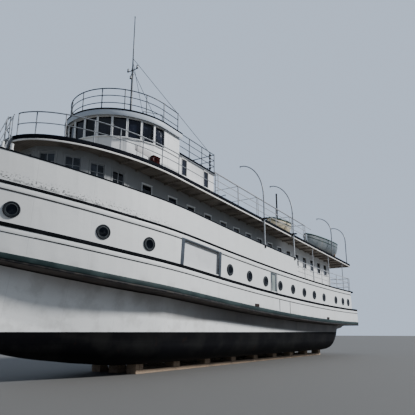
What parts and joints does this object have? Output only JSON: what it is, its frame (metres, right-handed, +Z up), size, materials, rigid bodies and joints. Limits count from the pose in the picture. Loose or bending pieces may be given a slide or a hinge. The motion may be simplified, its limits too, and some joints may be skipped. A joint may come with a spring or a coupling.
{
  "type": "small passenger lake steamer ashore on blocks",
  "caption": "White passenger lake steamer on blocks: decked hull, portholed house, gallery, pilothouse, mast, davits and boats; doors, davits, rudder and screw move.",
  "frame": {"origin": "on the ground the ship stands on, below the middle of its overall length, on the centreline", "axes": "+X forward to the bow, +Y to port, +Z up"},
  "size_m": [31.4984, 6.42, 17.07],
  "materials": {
    "timber": "rough sawn, weathered",
    "hull_black": "dull black bottom paint",
    "white_paint": "aged satin white paint with grime",
    "guard_green": "satin green-black paint, rubbed",
    "deck_planks": "weathered deck planks",
    "rail_grey": "satin grey paint",
    "davit_grey": "satin light grey paint",
    "window_glass": "clear, dark behind",
    "roof_black": "black tarred roof and edges",
    "boat_cream": "cream paint, dark green gunwale",
    "boat_grey": "blue-grey paint, dark gunwale",
    "iron": "dark painted iron",
    "bronze": "dull bronze"
  },
  "bodies": {
    "root": {"keel_blocks": "timber", "bilge_blocks_port": "timber", "bilge_blocks_starboard": "timber", "hull_bottom": "hull_black", "hull_topsides": "white_paint", "guard_deck": "guard_green", "main_wall_port": "white_paint", "main_wall_starboard": "white_paint", "main_wall_bow": "white_paint", "main_wall_stern": "white_paint", "stern_bulwark": "white_paint", "engine_block": "iron", "passenger_deck": "deck_planks", "bulwark_port": "white_paint", "bulwark_starboard": "white_paint", "bulwark_bow": "white_paint", "aft_rail_port": "rail_grey", "aft_rail_starboard": "rail_grey", "stern_rail": "rail_grey", "cabin_wall_port": "white_paint", "cabin_wall_starboard": "white_paint", "cabin_front": "white_paint", "cabin_back": "white_paint", "boat_deck": "deck_planks", "pilothouse_wall": "white_paint", "pilothouse_back": "white_paint", "pilothouse_glass": "window_glass", "pilothouse_roof": "roof_black", "texas_wall": "white_paint", "texas_roof": "roof_black", "pilothouse_rail": "rail_grey", "texas_rail": "rail_grey", "boat_deck_rail_port": "rail_grey", "boat_deck_rail_starboard": "rail_grey", "awning_frame": "rail_grey", "lifeboat_fore_port": "boat_cream", "lifeboat_fore_starboard": "boat_cream", "lifeboat_aft_port": "boat_grey", "lifeboat_aft_starboard": "boat_grey", "mast": "davit_grey", "stovepipe": "iron", "bitts": "white_paint", "fore_ladder": "rail_grey"},
    "gangway_leaf_port": {"gangway_door_port": "white_paint"},
    "gangway_leaf_starboard": {"gangway_door_starboard": "white_paint"},
    "side_leaf_port": {"side_door_port": "white_paint"},
    "side_leaf_starboard": {"side_door_starboard": "white_paint"},
    "pilothouse_leaf_port": {"pilothouse_door_port": "white_paint"},
    "pilothouse_leaf_starboard": {"pilothouse_door_starboard": "white_paint"},
    "davit_arm_1_port": {"davit_1_port": "davit_grey"},
    "davit_arm_1_starboard": {"davit_1_starboard": "davit_grey"},
    "davit_arm_2_port": {"davit_2_port": "davit_grey"},
    "davit_arm_2_starboard": {"davit_2_starboard": "davit_grey"},
    "davit_arm_3_port": {"davit_3_port": "davit_grey"},
    "davit_arm_3_starboard": {"davit_3_starboard": "davit_grey"},
    "davit_arm_4_port": {"davit_4_port": "davit_grey"},
    "davit_arm_4_starboard": {"davit_4_starboard": "davit_grey"},
    "rudder_blade": {"rudder": "hull_black"},
    "screw": {"propeller": "bronze"}
  },
  "joints": [
    {"name": "gangway_slide_port", "type": "slide", "parent": "root", "child": "gangway_leaf_port", "axis": [-0.9976, 0, -0.0698], "range_m": [0, 2.75]},
    {"name": "gangway_slide_starboard", "type": "slide", "parent": "root", "child": "gangway_leaf_starboard", "axis": [-0.9976, 0, -0.0698], "range_m": [0, 2.75]},
    {"name": "side_door_hinge_port", "type": "hinge", "parent": "root", "child": "side_leaf_port", "pos_m": [-1.542, 3.15, 4.2], "axis": [0, 0, 1], "range_deg": [0, 100]},
    {"name": "side_door_hinge_starboard", "type": "hinge", "parent": "root", "child": "side_leaf_starboard", "pos_m": [-1.542, -3.15, 4.2], "axis": [0, 0, -1], "range_deg": [0, 100]},
    {"name": "pilothouse_door_hinge_port", "type": "hinge", "parent": "root", "child": "pilothouse_leaf_port", "pos_m": [6.508, 2.405, 8.95], "axis": [0, 0, -1], "range_deg": [0, 95]},
    {"name": "pilothouse_door_hinge_starboard", "type": "hinge", "parent": "root", "child": "pilothouse_leaf_starboard", "pos_m": [6.508, -2.405, 8.95], "axis": [0, 0, 1], "range_deg": [0, 95]},
    {"name": "davit_turn_1_port", "type": "hinge", "parent": "root", "child": "davit_arm_1_port", "pos_m": [-0.35, 3.15, 8], "axis": [0, 0, 1], "range_deg": [0, 180]},
    {"name": "davit_turn_1_starboard", "type": "hinge", "parent": "root", "child": "davit_arm_1_starboard", "pos_m": [-0.35, -3.15, 8], "axis": [0, 0, -1], "range_deg": [0, 180]},
    {"name": "davit_turn_2_port", "type": "hinge", "parent": "root", "child": "davit_arm_2_port", "pos_m": [-4.15, 3.15, 8], "axis": [0, 0, -1], "range_deg": [0, 180]},
    {"name": "davit_turn_2_starboard", "type": "hinge", "parent": "root", "child": "davit_arm_2_starboard", "pos_m": [-4.15, -3.15, 8], "axis": [0, 0, 1], "range_deg": [0, 180]},
    {"name": "davit_turn_3_port", "type": "hinge", "parent": "root", "child": "davit_arm_3_port", "pos_m": [-11.55, 2.95, 8], "axis": [0, 0, 1], "range_deg": [0, 180]},
    {"name": "davit_turn_3_starboard", "type": "hinge", "parent": "root", "child": "davit_arm_3_starboard", "pos_m": [-11.55, -2.95, 8], "axis": [0, 0, -1], "range_deg": [0, 180]},
    {"name": "davit_turn_4_port", "type": "hinge", "parent": "root", "child": "davit_arm_4_port", "pos_m": [-14.75, 2.95, 8], "axis": [0, 0, -1], "range_deg": [0, 180]},
    {"name": "davit_turn_4_starboard", "type": "hinge", "parent": "root", "child": "davit_arm_4_starboard", "pos_m": [-14.75, -2.95, 8], "axis": [0, 0, 1], "range_deg": [0, 180]},
    {"name": "rudder_turn", "type": "hinge", "parent": "root", "child": "rudder_blade", "pos_m": [-14.8, 0, 1.1], "axis": [0, 0, 1], "range_deg": [-35, 35]},
    {"name": "propeller_spin", "type": "hinge", "parent": "root", "child": "screw", "pos_m": [-14.16, 0, 0.95], "axis": [1, 0, 0], "continuous": true}
  ]
}
